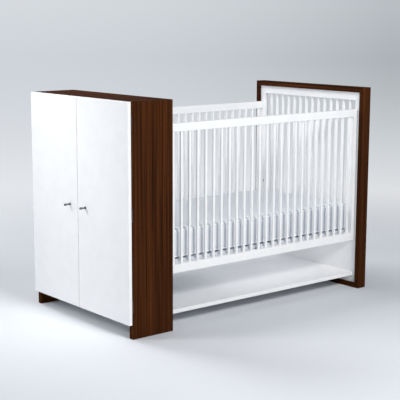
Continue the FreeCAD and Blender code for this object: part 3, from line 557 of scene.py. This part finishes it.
def buildFasteners(nodeName, s, tree):
    # Heads along X face away from the crib's middle, or into the cabinet; heads along Y face inwards
    lengths = {}
    for low, high in islands(nodes[nodeName].data):
        centre, size = (low + high) / 2, high - low
        axis = int(np.argmax(size))
        outward = centre[0] > cribMiddle or "knob" in nodeName if axis == 0 else centre[1] <= 0
        aim = np.zeros(3)
        aim[axis] = 1 if outward else -1
        lengths.setdefault(round(float(size[axis]), 5), []).append((centre - aim * size / 2, aim))
    for number, length in enumerate(sorted(lengths)):
        one = bpy.data.objects.new("oneFastener", fastenerMesh(s, length))
        scene.collection.objects.link(one)
        cloud = pointCloud(nodeName + "_places", *zip(*lengths[length]))
        piece = grown(f"{nodeName}_detailed_{number + 1}", cloud, tree, {"Fastener": one, "Size": 1.0},
                      zinc, bodyOf[nodeName])
        bpy.data.objects.remove(one)
    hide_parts(nodeName)


boltTree = fastenerTree(zinc)
for nodeName, s in fastenerSet.items():
    buildFasteners(nodeName, s, boltTree)
print("fasteners built")


# Mattress

mattressSet = {
    "voxel": 10.2, "shrink": 4.0, "pressure": 4.0, "cap": 5.0,  # mm, and the cloth's own pressure
    "frames": 20,
    "crown": 3.0, "crownLong": 6, "crownWide": 4,  # mm, and how square the crown is each way
    "topShare": 0.8, "sideShare": 0.93,  # shares of half a size past which a point is on the top or a side
    "seamDown": 4.5,  # mm from the top to the middle of the piping
    "seamWidth": 7.0, "seamDeep": 1.6,
    "cord": 4.0, "cordProud": 0.3,  # mm, radius of the piping, and the share of it that stands out
    "corner": 34.0, "cordStep": 8.0, "cordOut": 4.0, "cordUp": 3.0,  # mm, where the piping's path starts
    "stitchPitch": 5.0, "stitchLong": 3.2, "stitchThick": 0.45, "stitchIn": 8.0, "stitchStep": 4.0,
    "stitchUp": 2.0, "stitchProud": 0.2,  # mm, and the share of its thickness that stands out
}


def outline(halfLong, halfWide, corner, middle, height, step):
    # Points round a rounded rectangle, evenly spaced
    x, y = halfLong - corner, halfWide - corner
    dense = []
    for cx, cy, begin in ((x, y, 0), (-x, y, 90), (-x, -y, 180), (x, -y, 270)):
        for k in range(13):
            a = math.radians(begin + 90 * k / 12)
            dense.append(Vector((middle[0] + cx + corner * math.cos(a),
                                 middle[1] + cy + corner * math.sin(a), height)))
    dense.append(dense[0])
    lengths = [0.0]
    for a, b in zip(dense, dense[1:]):
        lengths.append(lengths[-1] + (b - a).length)
    count = max(8, round(lengths[-1] / step))
    points, k = [], 0
    for n in range(count):
        at = lengths[-1] * n / count
        while lengths[k + 1] < at:
            k += 1
        share = (at - lengths[k]) / (lengths[k + 1] - lengths[k])
        points.append(dense[k].lerp(dense[k + 1], share))
    return points


def corners(mesh):
    # The places of a mesh's vertices, as rows
    flat = np.empty(len(mesh.vertices) * 3)
    mesh.vertices.foreach_get("co", flat)
    return flat.reshape(-1, 3)


def shrunkPad(s, middle, half):
    # The CAD block a little smaller all round, remeshed evenly
    block = nodes["mattress"].data.copy()
    bm = bmesh.new()
    bm.from_mesh(block)
    bmesh.ops.remove_doubles(bm, verts=bm.verts, dist=1e-5)
    for v in bm.verts:
        for k in range(3):
            v.co[k] = middle[k] + (v.co[k] - middle[k]) * (half[k] - s["shrink"] * mm) / half[k]
    bm.to_mesh(block)
    bm.free()
    pad = bpy.data.objects.new("mattressCover", block)
    scene.collection.objects.link(pad)
    bpy.context.view_layer.objects.active = pad
    remesh = pad.modifiers.new("remesh", "REMESH")
    remesh.mode = "VOXEL"
    remesh.voxel_size = s["voxel"] * mm
    graph = bpy.context.evaluated_depsgraph_get()
    pad.data = bpy.data.meshes.new_from_object(pad.evaluated_get(graph))
    pad.modifiers.clear()
    return pad


def puffed(pad, s):
    # Where a short cloth simulation with pressure and no gravity takes the cover's points
    cloth = pad.modifiers.new("cloth", "CLOTH")
    cloth.settings.use_pressure = True
    cloth.settings.uniform_pressure_force = s["pressure"]
    cloth.settings.effector_weights.gravity = 0
    cloth.settings.quality = 4
    cloth.point_cache.frame_start, cloth.point_cache.frame_end = 1, s["frames"]
    for n in range(1, s["frames"] + 1):
        scene.frame_set(n)
    graph = bpy.context.evaluated_depsgraph_get()
    after = corners(pad.evaluated_get(graph).to_mesh())
    pad.evaluated_get(graph).to_mesh_clear()
    pad.modifiers.clear()
    scene.frame_set(1)
    return after


def buildMattress(s):
    low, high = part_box("mattress")
    middle = (low + high) / 2
    half = (high - low) / 2
    pad = shrunkPad(s, middle, half)
    before = corners(pad.data)
    after = puffed(pad, s)
    move = after - before
    length = np.linalg.norm(move, axis=1, keepdims=True)
    after = before + move * np.minimum(1, s["cap"] * mm / np.maximum(length, 1e-9))
    # the crown of the foam, flat where it rests on the support
    u = (after[:, 0] - middle.x) / half.x
    v = (after[:, 1] - middle.y) / half.y
    crown = np.clip(1 - u ** s["crownLong"], 0, 1) * np.clip(1 - v ** s["crownWide"], 0, 1) * s["crown"] * mm
    upper = after[:, 2] > middle.z + half.z * s["topShare"]
    after[upper, 2] += crown[upper]
    after[:, 2] = np.clip(after[:, 2], low.z, high.z)
    pad.data.vertices.foreach_set("co", after.ravel())
    pad.data.update()
    smooth = pad.modifiers.new("subdivision", "SUBSURF")
    smooth.levels = smooth.render_levels = 1
    graph = bpy.context.evaluated_depsgraph_get()
    pad.data = bpy.data.meshes.new_from_object(pad.evaluated_get(graph))
    pad.modifiers.clear()
    seamSides(pad.data, middle, half, s)
    clothUv(pad.data)
    pad.data.shade_smooth()
    pad.data.materials.clear()
    pad.data.materials.append(cotton)
    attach(pad, "mattress")
    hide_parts("mattress")
    return pad, middle, half


def seamSides(mesh, middle, half, s):
    # The cover is pulled in under the piping, at the upper and the lower edge
    points = corners(mesh)
    seam = half.z - s["seamDown"] * mm
    away = np.abs(np.abs(points[:, 2] - middle.z) - seam) / (s["seamWidth"] * mm)
    inward = np.exp(-away ** 2) * s["seamDeep"] * mm
    for k in (0, 1):
        share = (points[:, k] - middle[k]) / half[k]
        points[:, k] -= np.where(np.abs(share) > s["sideShare"], np.sign(share) * inward, 0)
    mesh.vertices.foreach_set("co", points.ravel())
    mesh.update()


def clothUv(mesh):
    # UVs in metres: the top and bottom lie flat, the sides follow the rim and the height
    layer = mesh.uv_layers.new(name="cloth")
    loopVertex = np.empty(len(mesh.loops), int)
    mesh.loops.foreach_get("vertex_index", loopVertex)
    sizes = np.empty(len(mesh.polygons), int)
    mesh.polygons.foreach_get("loop_total", sizes)
    normals = np.empty(len(mesh.polygons) * 3)
    mesh.polygons.foreach_get("normal", normals)
    facing = np.abs(np.repeat(normals.reshape(-1, 3), sizes, axis=0))
    place = corners(mesh)[loopVertex]
    uv = place[:, :2].copy()
    upright = facing[:, 2] < 0.7
    alongX = upright & (facing[:, 1] >= facing[:, 0])
    alongY = upright & ~alongX
    uv[alongX] = place[alongX][:, [0, 2]]
    uv[alongY] = place[alongY][:, [1, 2]]
    layer.data.foreach_set("uv", uv.ravel())


def pipingTree(material):
    # A round cord swept along a closed path
    tree, given = newTree("pipingAlongEdge", (("Path", "NodeSocketGeometry"), ("Radius", "NodeSocketFloat")),
                          "Piping")
    path = addNode(tree, "GeometryNodeMeshToCurve", None, {0: given["Path"]})
    ring = addNode(tree, "GeometryNodeCurvePrimitiveCircle", {"Resolution": 12}, {"Radius": given["Radius"]})
    tube = addNode(tree, "GeometryNodeCurveToMesh", None, {"Curve": path, "Profile Curve": ring})
    return finishTree(tree, tube, material)


def stitchTree(material):
    # Short stitches laid end to end along a path
    tree, given = newTree("stitchesAlongEdge", (
        ("Path", "NodeSocketGeometry"), ("Pitch", "NodeSocketFloat"), ("Long", "NodeSocketFloat"),
        ("Thick", "NodeSocketFloat")), "Stitches")
    path = addNode(tree, "GeometryNodeMeshToCurve", None, {0: given["Path"]})
    places = addNode(tree, "GeometryNodeCurveToPoints", {"mode": "LENGTH"},
                     {"Curve": path, "Length": given["Pitch"]}).node.outputs
    ball = addNode(tree, "GeometryNodeMeshUVSphere", {"Segments": 6, "Rings": 4, "Radius": 0.5})
    size = addNode(tree, "ShaderNodeCombineXYZ", None, {
        0: given["Thick"], 1: given["Thick"], 2: given["Long"]})
    aim = addNode(tree, "FunctionNodeAlignEulerToVector", {"axis": "Z"}, {"Vector": places["Tangent"]})
    copies = addNode(tree, "GeometryNodeInstanceOnPoints", None, {
        "Points": places["Points"], "Instance": ball, "Scale": size, "Rotation": aim})
    return finishTree(tree, copies, material)


def snapped(points, surface, reach):
    # Each point moved to the nearest place on the cover and out by its reach, then evened out
    out = []
    for p in points:
        hit, normal, index, distance = surface.find_nearest(p)
        out.append(hit + normal * reach)
    return [sum((out[(k + n) % len(out)] for n in range(-3, 4)), Vector()) / 7 for k in range(len(out))]


def closedPath(name, points):
    mesh = bpy.data.meshes.new(name)
    count = len(points)
    mesh.from_pydata([tuple(p) for p in points], [(k, (k + 1) % count) for k in range(count)], [])
    return mesh


def buildPiping(pad, middle, half, s):
    # Piping round both edges, and a row of stitches on the top beside the upper one
    surface = BVHTree.FromPolygons([v.co.copy() for v in pad.data.vertices],
                                   [tuple(p.vertices) for p in pad.data.polygons])
    cordTree = pipingTree(piping)
    corner, out, inset = s["corner"] * mm, s["cordOut"] * mm, s["stitchIn"] * mm
    for word, side in (("upper", 1), ("lower", -1)):
        height = middle.z + side * (half.z - s["seamDown"] * mm + s["cordUp"] * mm)
        around = outline(half.x + out, half.y + out, corner, middle, height, s["cordStep"] * mm)
        seam = snapped(around, surface, s["cord"] * mm * s["cordProud"])
        cord = grown(f"mattressPiping_{word}", closedPath("seamPath", seam), cordTree,
                     {"Radius": s["cord"] * mm}, piping, "mattress")
        cord.data.shade_smooth()
        if word == "upper":
            line = outline(half.x - inset, half.y - inset, corner - inset, middle,
                           middle.z + half.z + s["stitchUp"] * mm, s["stitchStep"] * mm)
            sewn = snapped(line, surface, s["stitchThick"] * mm * s["stitchProud"])
            stitches = grown("mattressStitches_upper", closedPath("stitchPath", sewn), stitchTree(thread), {
                "Pitch": s["stitchPitch"] * mm, "Long": s["stitchLong"] * mm,
                "Thick": 2 * s["stitchThick"] * mm}, thread, "mattress")


buildPiping(*buildMattress(mattressSet), mattressSet)
print("mattress made")


# Studio

studioSet = {
    "floor": "#E4E7EB", "floorRadius": 60,  # metres
    "fade": (2.3, 5.5), "fadeFrom": (-0.8, -1.0, 0.0),  # metres over which the floor meets the backdrop
    # The backdrop from below the horizon upwards: the sine of the angle, and its colour at each side
    "sky": [(-0.16, "#E4E7EB", "#DFE1E4"), (-0.11, "#D9DCE1", "#C9CED2"), (-0.07, "#D1D6DC", "#B7BCC0"),
            (-0.04, "#CED3D9", "#ADB2B8"), (0.01, "#D6DADF", "#B9BEC3"), (0.12, "#D4D6DA", "#B9BDC2"),
            (0.5, "#A2A5AA", "#8E9196"), (1.0, "#8A8D92", "#7E8186")],
    "side": 0.19, "sideCurve": 2.2,  # how far to each side the colours run, and how late they change
    "ambient": 0.74, "tint": "#F3F8FF",  # the backdrop's light on the crib, a little weaker and bluer
}
# Soft lamps in metres and watts; a long one is a rectangle
lampSet = {
    "key": {"place": (-2.6, 0.75, 1.9), "aim": (-0.8, 0.0, 0.85), "size": 0.8, "spread": 72, "energy": 5.0,
            "colour": "#FFFDFA"},
    "back": {"place": (-1.5, 4.0, 4.8), "aim": (0.4, 0.0, 0.3), "size": 2.8, "energy": 200,
             "colour": "#FFFFFF"},
    "front": {"place": (-0.5, -4.6, 3.3), "aim": (0.1, 0.0, 0.3), "size": 1.2, "energy": 168,
              "colour": "#FFFEFC"},
    "shelf": {"place": (0.4, 0.0, 0.262), "aim": (0.4, 0.0, 0.0), "size": 0.7, "long": 0.8, "energy": 0.5,
              "colour": "#FFFFFF"},  # under the rails, to fill the open shelf
}


def makeFloor(s):
    # Matt seamless paper: a faint tooth, and a fade into the backdrop far behind the crib
    bm = bmesh.new()
    bmesh.ops.create_circle(bm, cap_ends=True, segments=96, radius=s["floorRadius"])
    mesh = bpy.data.meshes.new("studioFloor")
    bm.to_mesh(mesh)
    bm.free()
    floor = bpy.data.objects.new("studioFloor", mesh)
    scene.collection.objects.link(floor)
    material, tree = newMaterial("seamlessPaper")
    place = addNode(tree, "ShaderNodeTexCoord", out="Object")
    tooth = addNode(tree, "ShaderNodeTexNoise", {"Scale": 260.0, "Detail": 2.0}, {"Vector": place})
    toothTone = addNode(tree, "ShaderNodeValToRGB", {"stops": [(0.3, 0.97), (0.7, 1.0)]}, {0: tooth})
    colour = addNode(tree, "ShaderNodeMix", {
        "data_type": "RGBA", "blend_type": "MULTIPLY", 0: 0.5, 6: linear(s["floor"])}, {7: toothTone}, 2)
    paper = addNode(tree, "ShaderNodeBsdfDiffuse", None, {"Color": colour})
    clear = addNode(tree, "ShaderNodeBsdfTransparent")
    distance = addNode(tree, "ShaderNodeVectorMath", {"operation": "DISTANCE", 1: s["fadeFrom"]}, {0: place},
                       "Value")
    near, far = s["fade"]
    fade = addNode(tree, "ShaderNodeMapRange", {
        "interpolation_type": "SMOOTHSTEP", "From Min": near, "From Max": far}, {"Value": distance})
    blend = addNode(tree, "ShaderNodeMixShader", None, {0: fade, 1: paper, 2: clear})
    addNode(tree, "ShaderNodeOutputMaterial", None, {"Surface": blend})
    mesh.materials.append(material)


def makeWorld(s):
    # A gradient by the direction in the world, paler to the left of the crib's front than to the right
    world = bpy.data.worlds.new("studio")
    scene.world = world
    world.use_nodes = True
    tree = world.node_tree
    tree.nodes.clear()
    heading = addNode(tree, "ShaderNodeTexCoord", out="Generated")
    turn = math.radians(cameraSet["heading"])
    along = addNode(tree, "ShaderNodeVectorMath", {
        "operation": "DOT_PRODUCT", 1: (math.cos(turn), -math.sin(turn), 0)}, {0: heading}, "Value")
    across = addNode(tree, "ShaderNodeMapRange", {"From Min": -s["side"], "From Max": s["side"]},
                     {"Value": along})
    share = addNode(tree, "ShaderNodeMath", {"operation": "POWER", 1: s["sideCurve"]}, {0: across})
    upward = addNode(tree, "ShaderNodeSeparateXYZ", None, {0: heading}, 2)
    low, high = s["sky"][0][0], s["sky"][-1][0]
    level = addNode(tree, "ShaderNodeMapRange", {"From Min": low, "From Max": high}, {"Value": upward})
    left, right = [addNode(tree, "ShaderNodeValToRGB", {
        "stops": [((stop[0] - low) / (high - low), stop[k]) for stop in s["sky"]]}, {0: level})
        for k in (1, 2)]
    sky = addNode(tree, "ShaderNodeMix", {"data_type": "RGBA"}, {0: share, 6: left, 7: right}, 2)
    shade = addNode(tree, "ShaderNodeMix", {
        "data_type": "RGBA", "blend_type": "MULTIPLY", 0: 1.0, 7: linear(s["tint"])}, {6: sky}, 2)
    seen = addNode(tree, "ShaderNodeLightPath", out="Is Camera Ray")
    strength = addNode(tree, "ShaderNodeMapRange", {"To Min": s["ambient"], "To Max": 1.0}, {"Value": seen})
    light = addNode(tree, "ShaderNodeMix", {"data_type": "RGBA"}, {0: seen, 6: shade, 7: sky}, 2)
    back = addNode(tree, "ShaderNodeBackground", None, {"Color": light, "Strength": strength})
    addNode(tree, "ShaderNodeOutputWorld", None, {"Surface": back})


def makeLamp(name, s):
    data = bpy.data.lights.new(name, "AREA")
    data.shape = "RECTANGLE" if "long" in s else "DISK"
    data.size = s.get("long", s["size"])
    data.size_y = s["size"]
    data.energy = s["energy"]
    data.spread = math.radians(s.get("spread", 180))
    data.color = linear(s["colour"])[:3]
    lamp = bpy.data.objects.new(name, data)
    lamp.location = s["place"]
    lamp.rotation_euler = (Vector(s["aim"]) - Vector(s["place"])).to_track_quat("-Z", "Y").to_euler()
    lamp.visible_camera = False
    scene.collection.objects.link(lamp)


makeFloor(studioSet)
makeWorld(studioSet)
for name, s in lampSet.items():
    makeLamp(name + "Softbox", s)
scene.view_settings.view_transform = "Standard"
print("studio made")

bpy.context.view_layer.update()
